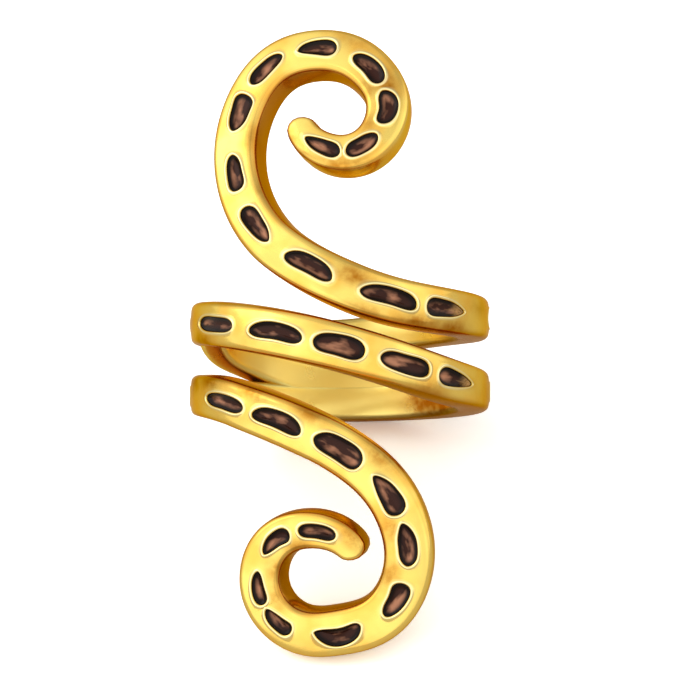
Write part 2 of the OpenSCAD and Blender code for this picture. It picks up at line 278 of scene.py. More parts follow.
def scroll_stations(angles, rows, r_size, reach, eye_h, side):
    """side is 1 for the upper scroll and -1 for the lower one, which is turned half round."""
    stations = []
    for a in angles:
        r = r_size * float(smooth(rows, a)) + reach * float(smooth(rows, a, 2))
        cos, sin = math.cos(math.radians(a)), math.sin(math.radians(a))
        stations.append(scroll_station(EYE_SIDE + side * r * cos, side * (eye_h + r * sin)))
    return stations


def rough_path():
    """Stations from the upper tip to the lower tip, each the mean of itself and its neighbours."""
    outwards = angles_between(UPPER_SCROLL[0][0], UPPER_SCROLL[-1][0])
    upper = scroll_stations(outwards, UPPER_SCROLL, UPPER_SCROLL_R, UPPER_REACH, UPPER_EYE_H, 1)
    turns = [turn_station(a) for a in angles_between(UPPER_TURN[0][0], LOWER_TURN[-1][0])]
    inwards = angles_between(LOWER_SCROLL[-1][0], LOWER_SCROLL[0][0])
    lower = scroll_stations(inwards, LOWER_SCROLL, LOWER_SCROLL_R, LOWER_REACH, LOWER_EYE_H, -1)
    rough = np.array(upper + turns + lower)
    last = len(rough) - 1
    spans = [min(NEIGHBOURS, i, last - i) for i in range(last + 1)]
    return np.array([rough[i - k:i + k + 1].mean(axis=0) for i, k in enumerate(spans)])


def fine_path():
    """Distance, middle point, direction across and outward direction, every FINE_STEP."""
    rough = rough_path()
    way = np.concatenate([[0], np.cumsum(np.linalg.norm(np.diff(rough[:, :3], axis=0), axis=1))])
    spare = 4 * SOFTENING
    s = np.arange(-spare, way[-1] + spare, FINE_STEP)
    inside = np.clip(s, 0, way[-1])
    dense = np.column_stack([smooth(np.column_stack([way, rough[:, k]]), inside) for k in range(6)])
    ends = [(rough[1] - rough[0]) / way[1], (rough[-1] - rough[-2]) / (way[-1] - way[-2])]
    dense += np.minimum(s, 0)[:, None] * ends[0] + np.maximum(s - way[-1], 0)[:, None] * ends[1]
    reach = int(3 * SOFTENING / FINE_STEP)
    kernel = np.exp(-0.5 * (np.arange(-reach, reach + 1) * FINE_STEP / SOFTENING) ** 2)
    kernel /= kernel.sum()
    dense = np.column_stack([np.convolve(dense[:, k], kernel, mode="same") for k in range(6)])
    forward = unit(np.gradient(dense[:, :3], axis=0))
    across = unit(np.cross(dense[:, 3:], forward))
    return s, dense[:, :3], across, unit(np.cross(forward, across)), way[-1]


PATH_S, PATH_POINT, PATH_ACROSS, PATH_OUT, PATH_L = fine_path()
TURN_ANGLES = np.arange(TURNS_FROM, TURNS_TO, PATH_STEP)


def turn_distances():
    """Distance along the strip at each of TURN_ANGLES."""
    found = []
    for a in TURN_ANGLES:
        station = np.array(turn_station(a)[:3])
        found.append(PATH_S[np.argmin(np.linalg.norm(PATH_POINT - station, axis=1))])
    return found


TURN_S = turn_distances()


def track(values, s):
    return np.column_stack([np.interp(s, PATH_S, values[:, k]) for k in range(3)])


def place(s, a, h):
    """Points at a distance s along the strip, a across it and h out from its middle."""
    s, a, h = (np.asarray(v, float) for v in (s, a, h))
    return track(PATH_POINT, s) + a[:, None] * track(PATH_ACROSS, s) + h[:, None] * track(PATH_OUT, s)


# The strip's plan outline
TIP_R = WIDTHS[0][1] * STRIP_W / 2
TIP_AT = (TIP_R, PATH_L - TIP_R)


def half_w(s):
    return smooth(WIDTHS, np.asarray(s) / PATH_L) * STRIP_W / 2


def edge(s):
    return np.minimum(EDGE_R, half_w(s) * EDGE_SHARE)


PITCH = PATH_L / (sum(row[0] for row in DASHES) + LAST_STEP)
DASH_AT = np.cumsum([row[0] for row in DASHES]) * PITCH
HALF_L = np.array([row[1] for row in DASHES]) * DASH_L / 2
CELL_ENDS = np.concatenate([
    [TIP_AT[0]],
    (DASH_AT[:-1] + HALF_L[:-1] + DASH_AT[1:] - HALF_L[1:]) / 2,
    [TIP_AT[1]],
])


def crown_drop(s, a):
    """How far the crowned face lies below its middle line."""
    beyond = np.maximum(0, np.maximum(TIP_AT[0] - s, s - TIP_AT[1])) / (TIP_R * (1 - EDGE_SHARE))
    return CROWN * np.minimum(1, (a / (half_w(s) - edge(s))) ** 2 + beyond**2)


def end_shape(blunt):
    """Exponents of an outline's end: y = (1 - x ** n) ** (1 / m)."""
    return tuple(pointed + squared * blunt for pointed, squared in zip(END_POINTED, END_SQUARED))


def dash_sides():
    """Where the outline's points lie: shares along its long sides, and across its ends."""
    along = np.linspace(-DASH_CORNER, DASH_CORNER, CELL_LONG + 1)
    return along, np.linspace(1, -1, CELL_ACROSS + 1)[1:-1]


def dash_outline(i, grow):
    """Closed outline of dash i, grown by a length, as (s, a): left side, last end, right side back,
    first end. It has 2 * (CELL_LONG + CELL_ACROSS) points."""
    _, long, wide, bend, taper, blunt_first, blunt_last = DASHES[i]
    half_l, half_w_dash = long * DASH_L / 2 + grow, wide * DASH_W / 2 + grow
    along, over = dash_sides()

    def y_at(x):
        n = np.where(x < 0, end_shape(blunt_first)[0], end_shape(blunt_last)[0])
        m = np.where(x < 0, end_shape(blunt_first)[1], end_shape(blunt_last)[1])
        return (1 - np.abs(x) ** n) ** (1 / m)

    def x_at(y, blunt):
        n, m = end_shape(blunt)
        return (1 - np.abs(y) ** m) ** (1 / n)

    last_y = over * float(y_at(along[-1:])[0])
    first_y = -over * float(y_at(along[:1])[0])
    x = np.concatenate([along, x_at(last_y, blunt_last), along[::-1], -x_at(first_y, blunt_first)])
    y = np.concatenate([y_at(along), last_y, -y_at(along[::-1]), first_y])
    angle = np.arctan2(y, x)
    wobble = 1 + sum(size * np.sin(waves * angle + shift * i) for waves, shift, size in WOBBLES)
    middle = bend * DASH_W * (BEND_MIDDLE - BEND_ENDS * x * x)
    s = DASH_AT[i] + half_l * x
    room = half_w(s) - edge(s) - DASH_MARGIN - np.abs(middle)
    half = half_w_dash * wobble * (1 + taper * x)
    held = room * np.tanh((half / room) ** HOLD_POWER) ** (1 / HOLD_POWER)
    return s, middle + y * held


def between_dashes(number):
    """Distance along the strip at a dash's number, or at a share of the way to the next one."""
    return np.interp(number, np.arange(len(DASHES) + 2), [0, *DASH_AT, PATH_L])


def shade_spots(s, a, places, size=1):
    """Strength of the soft spots of painted shade at places of (distance, place across as a share,
    strength).
    """
    total = np.zeros(len(s))
    for at, across, strength in places:
        away = ((s - at) / SHADE_SPOT_LONG) ** 2 + ((a - across * half_w(at)) / SHADE_SPOT_ACROSS) ** 2
        total += SHADE_SPOT_FULL * strength * np.exp(-away / size**2)
    return np.minimum(total, 1)


def both_shade_spots(s, a, h):
    """Painted shade spots of the outer face where h is positive, and of the inner face elsewhere."""
    outer = [(between_dashes(number), across, strength) for number, across, strength in SHADE_SPOTS]
    inner = [(np.interp(angle, TURN_ANGLES, TURN_S), across, strength)
             for angle, across, strength in INNER_SHADE_SPOTS]
    return np.where(h > 0, shade_spots(s, a, outer), shade_spots(s, a, inner, INNER_SPOT))


def pale_wall(s, a):
    """1 on the side walls that stay pale, where most of their painted shade is left off, fading out over
    one pitch at their ends.
    """
    share = np.zeros(len(s))
    for first, last, side in PALE_WALLS:
        from_s, to_s = between_dashes(first), between_dashes(last)
        fade = ease((s - from_s) / PITCH + 0.5) * ease((to_s - s) / PITCH + 0.5)
        share += fade * (a * side > 0)
    return share


class Mesh:
    """Points of the strip, kept by distance, place across and height, and the faces between them."""

    def __init__(self):
        self.s = self.a = self.h = self.dark = self.side = self.inner = self.worn = np.empty(0)
        self.faces = []

    def add(self, s, a, h, dark=0.0, side=0.0, inner=0.0, worn=0.0):
        """Adds points and returns their numbers. The last four steer the colour, with its painted shade
        and light: below 0, dark is a painted highlight on a lip.
        """
        s, a, h = np.broadcast_arrays(*(np.atleast_1d(np.asarray(x, float)) for x in (s, a, h)))
        first = len(self.s)
        new = {"s": s, "a": a, "h": h, "dark": dark, "side": side, "inner": inner, "worn": worn}
        for key, value in new.items():
            setattr(self, key, np.concatenate([getattr(self, key), np.broadcast_to(value, s.shape)]))
        return np.arange(first, len(self.s))

    def quads(self, one, two, closed=False):
        """Quads between two rows of points."""
        for k in range(len(one) if closed else len(one) - 1):
            j = (k + 1) % len(one)
            self.faces.append([int(x) for x in (one[k], one[j], two[j], two[k])])

    def fan(self, ring, centre):
        for k in range(len(ring)):
            self.faces.append([int(x) for x in (ring[k], ring[(k + 1) % len(ring)], centre)])

    def build(self, name, material, to_rest):
        return build_piece(name, place(self.s, self.a, self.h), self.faces, material, to_rest,
                           np.column_stack([self.s, self.a]),
                           {"dark": self.dark, "side": self.side, "inner": self.inner,
                            "shade_spots": both_shade_spots(self.s, self.a, self.h), "worn": self.worn})


def build_piece(name, points, faces, material, to_rest, uv, shares):
    """An object from points in millimetres, with the way along and across the strip as its UVs."""
    mesh = bpy.data.meshes.new(name)
    mesh.from_pydata([to_rest @ Vector(p) for p in points * MM], [], faces)
    layer = mesh.uv_layers.new(name="strip")
    corners = np.empty(len(mesh.loops), int)
    mesh.loops.foreach_get("vertex_index", corners)
    layer.data.foreach_set("uv", uv[corners].astype(np.float32).ravel())
    for key, share in shares.items():
        value = mesh.attributes.new(key, "FLOAT", "POINT")
        value.data.foreach_set("value", np.asarray(share, np.float32))
    mesh.shade_smooth()
    mesh.materials.append(material)
    piece = bpy.data.objects.new(name, mesh)
    bpy.context.scene.collection.objects.link(piece)
    return piece


# Rings of a recess from its lip to its floor: how far outside the outline, how far below the face,
# and how dark it is painted there, below 0 a painted highlight on the lip
RECESS_RINGS = [
    (LIP_W, 0, -0.2), (0.75 * LIP_W, -0.6 * LIP_H, -0.7), (0.5 * LIP_W, -LIP_H, -1),
    (0.25 * LIP_W, -0.9 * LIP_H, -0.9), (0.01, -0.3 * LIP_H, -0.3), (-0.02, 0.02, 0.5), (-0.04, 0.09, 1),
    (-0.06, 0.3, 1), (-0.12, 0.46, 1), (-0.3, DASH_DEPTH, 1),
]
TOWARDS_LIP = (0.4, 0.75)
S_SIDE = np.concatenate([[CELL_ENDS[0]]] + [
    np.linspace(one, two, CELL_LONG + 1)[1:] for one, two in zip(CELL_ENDS, CELL_ENDS[1:])
])
TIP_ANGLE = np.radians(np.linspace(90, -90, CELL_ACROSS + 1)[1:-1])


def outline_row(m, inset, h, side, inner=0.0, dark=0.0):
    """Points round the whole strip: left side, last tip, right side back, first tip."""
    rows = []
    for sign, s, tip in ((1, S_SIDE, TIP_AT[1]), (-1, S_SIDE[::-1], TIP_AT[0])):
        rows.append((s, sign * (half_w(s) - inset(s))))
        half, d = float(half_w(tip)), float(inset(tip))
        rows.append((tip + sign * (TIP_R - d) * np.cos(TIP_ANGLE), sign * (half - d) * np.sin(TIP_ANGLE)))
    s, a = (np.concatenate([row[k] for row in rows]) for k in range(2))
    return m.add(s, a, h(s), dark, side * (1 - PALE_SHARE * pale_wall(s, a)), inner)


def outline_rows(m):
    """The rounded edges and the sides of the strip, from the border of the outer face to the inner."""
    def edge_row(b, face, inner=0.0, dark=0.0):
        side = ease(b / angles[-1])
        return outline_row(m, lambda s: edge(s) * (1 - math.sin(b)) + SIDE_CROWN,
                           lambda s: face * (HALF_T - CROWN - edge(s) * (1 - math.cos(b))),
                           side, inner * (1 - side), dark)

    angles = np.radians(np.linspace(0, 90, FILLET_STEPS + 1))
    rows = [edge_row(b, 1) for b in angles]
    for share in np.linspace(1, -1, SIDE_STEPS + 1)[1:-1]:
        rows.append(outline_row(m, lambda s: SIDE_CROWN * share**2,
                                lambda s: share * (HALF_T - CROWN - edge(s)), 1.0))
    # The inner face's rounded edges, with a line of painted shade along them
    rows += [edge_row(b, -1, 1.0, EDGE_SHADE * math.sin(2 * b)) for b in angles[::-1]]
    for one, two in zip(rows, rows[1:]):
        m.quads(two, one, closed=True)
    return rows


def sides(row):
    """Left side, last tip, right side from the first tip on, and first tip of an outline row."""
    n, tip = len(S_SIDE), CELL_ACROSS - 1
    return row[:n], row[n:n + tip], row[n + tip:2 * n + tip][::-1], row[2 * n + tip:]


def across_line(m, s, face):
    """Points across a face from left to right, without its ends. face is 1 outside, -1 inside."""
    a = np.linspace(1, -1, CELL_ACROSS + 1)[1:-1] * float(half_w(s) - edge(s) - SIDE_CROWN)
    return m.add(s, a, face * (HALF_T - crown_drop(s, a)), inner=float(face < 0))


def outer_face(m, row):
    """One patch round each dash: its border, rings towards the lip, and the recess."""
    left, last, right, first = sides(row)
    across = [first[::-1]] + [across_line(m, s, 1) for s in CELL_ENDS[1:-1]] + [last]
    for i in range(len(DASHES)):
        cell = slice(i * CELL_LONG, (i + 1) * CELL_LONG + 1)
        ring = np.concatenate([left[cell], across[i + 1], right[cell][::-1], across[i][::-1]])
        s, a = m.s[ring], m.a[ring]
        lip_s, lip_a = dash_outline(i, LIP_W)
        for share in TOWARDS_LIP:
            s_in, a_in = s + share * (lip_s - s), a + share * (lip_a - a)
            inner = m.add(s_in, a_in, HALF_T - crown_drop(s_in, a_in))
            m.quads(ring, inner, closed=True)
            ring = inner
        for grow, depth, dark in RECESS_RINGS:
            s_in, a_in = dash_outline(i, grow)
            inner = m.add(s_in, a_in, HALF_T - crown_drop(s_in, a_in) - depth, dark=dark)
            m.quads(ring, inner, closed=True)
            ring = inner
        centre = m.add(m.s[ring].mean(), m.a[ring].mean(), HALF_T - DASH_DEPTH, dark=1)
        m.fan(ring, centre[0])


def inner_face(m, row):
    """The face towards the braid: rows across it, and one face at each tip."""
    left, last, right, first = sides(row)
    lines = []
    for k, s in enumerate(S_SIDE):
        lines.append(np.concatenate([[left[k]], across_line(m, s, -1), [right[k]]]))
    for one, two in zip(lines, lines[1:]):
        m.quads(one, two)
    for tip, line in ((last, lines[-1]), (first[::-1], lines[0][::-1])):
        m.faces.append([int(k) for k in (*line, *tip[::-1])])


def make_strip(material, to_rest):
    m = Mesh()
    rows = outline_rows(m)
    outer_face(m, rows[0])
    inner_face(m, rows[-1])
    return m.build("ring_strip", material, to_rest)


# Rings of an enamel fill: how far inside the outline, how far below the face, how near the rim
FILL_RINGS = [
    (-0.14, 0.44, 1), (-0.08, 0.3, 1), (-0.045, 0.1, 1), (-0.08, 0.11, 1), (-0.14, 0.16, 0.95),
    (-0.21, 0.21, 0.75), (-0.3, 0.25, 0.4), (-0.42, 0.28, 0.12),
]
FILL_DEPTH = 0.29


def make_fill(i, material, to_rest):
    m = Mesh()
    ring = None
    for grow, depth, dark in FILL_RINGS:
        s, a = dash_outline(i, grow)
        worn = WORN.get(i + 1, 0) * ease((s - DASH_AT[i]) / HALF_L[i] * WORN_SLOPE - WORN_START)
        inner = m.add(s, a, HALF_T - crown_drop(s, a) - depth, dark=dark, worn=worn)
        if ring is None:
            m.faces.append([int(k) for k in inner[::-1]])
        else:
            m.quads(ring, inner, closed=True)
        ring = inner
    centre = m.add(m.s[ring].mean(), m.a[ring].mean(), HALF_T - FILL_DEPTH, dark=0)
    m.fan(ring, centre[0])
    return m.build(f"dash_fill_{i + 1:02d}", material, to_rest)


# Slanting bar at the back: angle from the front, and the heights of its edges as shares of the way
# up from the middle turn's right end to its left end
BAR = [
    (112, 0.16, -0.12), (130, 0.21, -0.13), (150, 0.36, -0.12), (175, 0.46, -0.1), (200, 0.65, -0.05),
    (220, 0.81, 0.08), (244, 0.97, 0.3), (264, 1.11, 0.45), (276, 1.14, 0.58), (288, 1.14, 0.73),
    (302, 1.1, 0.83),
]
TOP, BOTTOM = 1, 2
BAR_LOW = 468
BAR_HIGH = 288
BAR_INSET = 0.05
BAR_OUT = MID_R + HALF_T - DASH_DEPTH - 2 * BAR_INSET
BAR_STEPS = 110
BAR_ACROSS = 14
BAR_ROUND = 5
BAR_EDGE = 0.45
# The bar's inner face stands this proud of the strip's, and dips into it at its hidden edges and ends
PROUD = 0.03
DIP = 0.08
DIP_W = 0.9
DIP_TURN = 16
# The upper edge comes free between the first two angles and is hidden again between the last two, and
# the lower edge comes free between its own two
TOP_FREE = (132, 146, 196, 210)
BOTTOM_FREE = (196, 214)
# The bar's hidden lower edge stops this far inside the flat of the lower pass
BAR_TUCK = 0.04


def bar_height(share):
    low, high = turn_height(BAR_LOW), turn_height(BAR_HIGH)
    return low + (high - low) * share


def pass_edge(angle):
    """Height at which the rounded lower edge of the lower pass begins on its inner face."""
    s = float(np.interp(angle, TURN_ANGLES, TURN_S))
    return turn_height(angle) - float(half_w(s) - edge(s)) + BAR_TUCK


def bar_edges(angle):
    top = bar_height(float(smooth(BAR, angle, TOP)))
    bottom = bar_height(float(smooth(BAR, angle, BOTTOM)))
    free = float(ramp(angle, *BOTTOM_FREE))
    return top, bottom * free + min(bottom, pass_edge(angle + FULL_TURN)) * (1 - free)


def bar_section(angle):
    """(radius, height) points round the bar: inner face upwards, then the outer face downwards."""
    top, bottom = bar_edges(angle)
    hidden_top = 1 - ramp(angle, *TOP_FREE[:2]) + ramp(angle, *TOP_FREE[2:])
    hidden_bottom = 1 - ramp(angle, *BOTTOM_FREE)
    ends = 1 - ease((angle - BAR[0][0]) / DIP_TURN) * ease((BAR[-1][0] - angle) / DIP_TURN)
    z = np.linspace(bottom + BAR_EDGE, top - BAR_EDGE, BAR_ACROSS)
    dip = (hidden_top * ease(1 - (z[-1] - z) / DIP_W) + hidden_bottom * ease(1 - (z - z[0]) / DIP_W))
    inside = MID_R - HALF_T - PROUD + DIP * np.maximum(dip, ends)
    corner = np.radians(np.linspace(0, 90, BAR_ROUND + 2))[1:-1]
    sin, cos = BAR_EDGE * np.sin(corner), BAR_EDGE * np.cos(corner)
    points = list(zip(inside, z))
    points += [(inside[-1] + BAR_EDGE - q, z[-1] + p) for p, q in zip(sin, cos)]
    points += [(inside[-1] + BAR_EDGE, top), (BAR_OUT - BAR_EDGE, top)]
    points += [(BAR_OUT - BAR_EDGE + p, z[-1] + q) for p, q in zip(sin, cos)]
    points += [(BAR_OUT, h) for h in z[::-1]]
    points += [(BAR_OUT - BAR_EDGE + q, z[0] - p) for p, q in zip(sin, cos)]
    points += [(BAR_OUT - BAR_EDGE, bottom), (inside[0] + BAR_EDGE, bottom)]
    points += [(inside[0] + BAR_EDGE - p, z[0] - q) for p, q in zip(sin, cos)]
    return points


def make_bar(material, to_rest):
    points, uv, faces = [], [], []
    angles = np.linspace(BAR[0][0], BAR[-1][0], BAR_STEPS + 1)
    for angle in angles:
        section = bar_section(angle)
        sin, cos = math.sin(math.radians(angle)), math.cos(math.radians(angle))
        for r, z in section:
            points.append((r * sin, -r * cos, z))
            uv.append((math.radians(angle) * MID_R, z))
    n = len(section)
    for i in range(BAR_STEPS):
        for k in range(n):
            a, b = i * n + k, i * n + (k + 1) % n
            faces.append([a, a + n, b + n, b])
    faces.append(list(range(n)))
    faces.append([BAR_STEPS * n + k for k in range(n)][::-1])
    return build_piece("ring_bar", np.array(points), faces, material, to_rest, np.array(uv),
                       {"inner": np.ones(len(points))})


def nodes_of(name):
    """A new material with its node tree, and the shader that its output shows."""
    material = bpy.data.materials.new(name)
    material.use_nodes = True
    tree = material.node_tree
    tree.nodes.clear()
    out = tree.nodes.new("ShaderNodeOutputMaterial")
    shader = tree.nodes.new("ShaderNodeBsdfPrincipled")
    tree.links.new(shader.outputs["BSDF"], out.inputs["Surface"])
    return material, tree, shader


def noise(tree, vector, scale, detail=2, rough=0.5):
    """Noise of so many bumps to the millimetre, or to one unit of a stretched way along the strip."""
    node = tree.nodes.new("ShaderNodeTexNoise")
    node.inputs["Scale"].default_value = scale
    node.inputs["Detail"].default_value = detail
    node.inputs["Roughness"].default_value = rough
    tree.links.new(vector, node.inputs["Vector"])
    return node.outputs["Fac"]


def spread(tree, value, source, target=(0, 1)):
    """A value moved from one range to another, held inside it."""
    node = tree.nodes.new("ShaderNodeMapRange")
    for name, number in zip(("From Min", "From Max", "To Min", "To Max"), (*source, *target)):
        node.inputs[name].default_value = number
    tree.links.new(value, node.inputs["Value"])
    return node.outputs["Result"]


def math_node(tree, operation, one, two):
    node = tree.nodes.new("ShaderNodeMath")
    node.operation = operation
    for socket, value in zip(node.inputs, (one, two)):
        if isinstance(value, (int, float)):
            socket.default_value = value
        else:
            tree.links.new(value, socket)
    return node.outputs["Value"]


def blend(tree, share, one, two):
    """Colour two over colour one. Each is a colour or a socket."""
    node = tree.nodes.new("ShaderNodeMix")
    node.data_type = "RGBA"
    tree.links.new(share, node.inputs["Factor"])
    for name, value in (("A", one), ("B", two)):
        socket = next(x for x in node.inputs if x.name == name and x.type == "RGBA")
        if isinstance(value, tuple):
            socket.default_value = (*value, 1)
        else:
            tree.links.new(value, socket)
    return next(x for x in node.outputs if x.type == "RGBA")


def bump(tree, height, depth, under=None):
    """Bump from a height between 0 and 1, its depth in millimetres, over another bump."""
    node = tree.nodes.new("ShaderNodeBump")
    node.inputs["Distance"].default_value = depth * MM
    tree.links.new(height, node.inputs["Height"])
    if under is not None:
        tree.links.new(under, node.inputs["Normal"])
    return node.outputs["Normal"]


def in_millimetres(tree, stretch):
    """Place on the piece in millimetres, and the way along and across the strip, stretched."""
    solid = tree.nodes.new("ShaderNodeTexCoord")
    scaled = tree.nodes.new("ShaderNodeVectorMath")
    scaled.operation = "SCALE"
    scaled.inputs["Scale"].default_value = 1 / MM
    tree.links.new(solid.outputs["Object"], scaled.inputs[0])
    strip = tree.nodes.new("ShaderNodeUVMap")
    strip.uv_map = "strip"
    stretched = tree.nodes.new("ShaderNodeMapping")
    stretched.inputs["Scale"].default_value = stretch
    tree.links.new(strip.outputs["UV"], stretched.inputs["Vector"])
    return scaled.outputs["Vector"], stretched.outputs["Vector"]


def attribute(tree, name):
    node = tree.nodes.new("ShaderNodeAttribute")
    node.attribute_name = name
    return node.outputs["Fac"]


GOLD = (1.0, 0.72, 0.165)
# Deeper gold of the soft patches, a painted reflection
GOLD_REFLECTED_DARK = (1.0, 0.58, 0.1)
# Dark orange-brown of the spots of painted shade
GOLD_SHADED = (0.46, 0.17, 0.01)
# Orange-brown painted shade of the side walls
GOLD_SIDE_SHADE = (0.52, 0.16, 0.006)
# Paler gold of the inner face, painted light
GOLD_INNER_LIT = (1.0, 0.8, 0.24)
# Pale gold of the painted highlight on the lips round the dashes
GOLD_LIP_HIGHLIGHT = (1.0, 0.86, 0.42)
GOLD_GRAZED = (1.0, 0.7, 0.26)
# Dark colour of the pit walls round each dash, also the painted shade along the inner face's edges
PIT_DARK_AND_EDGE_SHADE = (0.02, 0.009, 0.006)
# Polishing lines run along the strip: how they are stretched along and across it
LINES = (0.5, 9, 1)
# Bumps to a millimetre of the soft patches of painted reflection in the colour, which also vary the
# roughness, of the painted shade's cloudiness, of the uneven casting and of its grain
PATCHES = 0.42
CLOUDS = 1.6
WAVES = 0.5
GRAIN = 5.0
# How much of their painted colour the side walls (painted shade) and the inner face (painted light) take
# on
SIDE_COLOUR = 0.86
INNER_COLOUR = 0.9
# Roughness where the patches are least and most, and what the side walls, the inner face and the darkened
# places add to it
GOLD_ROUGH = (0.12, 0.2)
ROUGH_LINES = 0.07
ROUGH_SIDE = 0.05
ROUGH_INNER = 0.14
ROUGH_DARK = 0.12
# Depth in millimetres of the waves, the lines and the grain, and the waves' share on the inner face
WAVES_DEEP = 0.03
FINE_DEEP = 0.0012
INNER_WAVES = 0.15


def gold_material():
    material, tree, shader = nodes_of("gold")
    solid, lines = in_millimetres(tree, LINES)
    dark, side, inner, shaded = (attribute(tree, x) for x in ("dark", "side", "inner", "shade_spots"))

    def times(one, two):
        return math_node(tree, "MULTIPLY", one, two)

    def plus(one, two):
        return math_node(tree, "ADD", one, two)

    outer = math_node(tree, "SUBTRACT", 1, math_node(tree, "MAXIMUM", side, inner))
    patches = noise(tree, solid, PATCHES)
    streaks = times(noise(tree, lines, 1, detail=3), outer)
    # Soft patches of painted reflection, a deeper gold in places
    colour = blend(tree, spread(tree, patches, (0.42, 0.66)), GOLD, GOLD_REFLECTED_DARK)
    # Painted shade on the side walls
    colour = blend(tree, times(side, SIDE_COLOUR), colour, GOLD_SIDE_SHADE)
    # Painted light: the inner face is given a paler gold
    colour = blend(tree, times(inner, INNER_COLOUR), colour, GOLD_INNER_LIT)
    # Spots of painted shade darken the gold, clouded by noise
    cloudy = spread(tree, noise(tree, solid, CLOUDS), (0.3, 0.6), (0.55, 1))
    colour = blend(tree, times(shaded, cloudy), colour, GOLD_SHADED)
    # Painted highlight on the lips round the dashes
    colour = blend(tree, times(dark, -1), colour, GOLD_LIP_HIGHLIGHT)
    # Darker pit walls, and the painted shade along the inner face's edges
    colour = blend(tree, dark, colour, PIT_DARK_AND_EDGE_SHADE)
    tree.links.new(colour, shader.inputs["Base Color"])

    rough = plus(spread(tree, patches, (0.3, 0.7), GOLD_ROUGH),
                 spread(tree, streaks, (0.35, 0.7), (0, ROUGH_LINES)))
    for share, added in ((side, ROUGH_SIDE), (inner, ROUGH_INNER), (dark, ROUGH_DARK)):
        rough = plus(rough, times(share, added))
    tree.links.new(rough, shader.inputs["Roughness"])

    flatter = spread(tree, inner, (0, 1), (1, INNER_WAVES))
    normal = bump(tree, times(noise(tree, solid, WAVES, detail=1), flatter), WAVES_DEEP)
    normal = bump(tree, streaks, FINE_DEEP, normal)
    normal = bump(tree, noise(tree, solid, GRAIN), FINE_DEEP, normal)
    tree.links.new(normal, shader.inputs["Normal"])
    shader.inputs["Metallic"].default_value = 1.0
    shader.inputs["Specular Tint"].default_value = (*GOLD_GRAZED, 1)
    return material


# Light brown of the painted highlights in the enamel
ENAMEL_HIGHLIGHT = (0.5, 0.22, 0.12)
ENAMEL = (0.04, 0.011, 0.006)
ENAMEL_RIM = (0.006, 0.002, 0.001)
ENAMEL_WORN = (0.6, 0.34, 0.12)
# The clouds in the enamel, which place its painted highlights and vary its roughness and bumps, stretched
# along and across the strip, and its grain in bumps to a millimetre
ENAMEL_CLOUDS = (0.6, 1.3, 1)
ENAMEL_GRAIN = 7.0
ENAMEL_ROUGH = (0.14, 0.26)
# Depth in millimetres of the clouds and of the grain
CLOUDS_DEEP = 0.04
GRAIN_DEEP = 0.003
ENAMEL_SHINE = 0.14


def enamel_material():
    material, tree, shader = nodes_of("enamel")
    solid, stretched = in_millimetres(tree, ENAMEL_CLOUDS)
    clouds = noise(tree, stretched, 1, detail=3, rough=0.45)
    grain = noise(tree, solid, ENAMEL_GRAIN)
    # Painted highlights: the clouds lighten the dark enamel in streaks
    colour = blend(tree, spread(tree, clouds, (0.48, 0.64)), ENAMEL, ENAMEL_HIGHLIGHT)
    rim = spread(tree, attribute(tree, "dark"), (0.1, 0.9))
    colour = blend(tree, rim, colour, ENAMEL_RIM)
    grained = spread(tree, grain, (0.35, 0.55), (0.5, 1))
    worn = math_node(tree, "MULTIPLY", attribute(tree, "worn"), grained)
    tree.links.new(blend(tree, worn, colour, ENAMEL_WORN), shader.inputs["Base Color"])
    tree.links.new(spread(tree, clouds, (0.3, 0.7), ENAMEL_ROUGH), shader.inputs["Roughness"])
    normal = bump(tree, grain, GRAIN_DEEP, bump(tree, clouds, CLOUDS_DEEP))
    tree.links.new(normal, shader.inputs["Normal"])
    shader.inputs["Specular IOR Level"].default_value = ENAMEL_SHINE
    return material


# The strip's corners, cut by this much for its rounded edges, show how far it reaches
CORNER_CUT = 0.15


def strip_corners():
    """Points on the strip's four long edges, in metres."""
    s = np.repeat(S_SIDE, 4)
    a = (half_w(s) - CORNER_CUT) * np.tile([1, 1, -1, -1], len(S_SIDE))
    h = (HALF_T - CORNER_CUT) * np.tile([1, -1, 1, -1], len(S_SIDE))
    return place(s, a, h) * MM


def rest_turn():
    """The ring's turn as it rests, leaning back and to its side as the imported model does."""
    axis = frame["record"]["mounts"][0]["axis"]
    lean, side_lean = math.asin(axis[1]), math.atan2(axis[0], axis[2])
    return Matrix.Rotation(side_lean, 4, "Y") @ Matrix.Rotation(-lean, 4, "X")


def rest_place():
    """Its turn and its place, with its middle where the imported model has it."""
    low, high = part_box("band")
    spun = np.array([turned @ Vector(p) for p in strip_corners()])
    middle = (spun.min(axis=0) + spun.max(axis=0)) / 2
    shift = Vector([(low[k] + high[k]) / 2 - middle[k] for k in range(3)])
    return Matrix.Translation(shift) @ turned


turned = rest_turn()
to_rest = rest_place()

gold = gold_material()
enamel = enamel_material()
strip = make_strip(gold, to_rest)
bar = make_bar(gold, to_rest)
for piece in (strip, bar):
    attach(piece, "root")
    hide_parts("band")
for i in range(len(DASHES)):
    fill = make_fill(i, enamel, to_rest)
    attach(fill, "root")
    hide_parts(f"enamel_{i + 1:02d}")


# The floor and the backdrop are seen paler than they light the ring
FLOOR = (0.6, 0.56, 0.5)
FLOOR_SEEN = (1.6, 1.6, 1.6)
BACKDROP_SEEN = 1.0
FLOOR_W = 3.0
FLOOR_CELLS = 8
FLOOR_ROUGH = 0.9


def seen(tree):
    """1 where something is seen itself, 0 where it lights the ring or shows in its polish."""
    return tree.nodes.new("ShaderNodeLightPath").outputs["Is Camera Ray"]


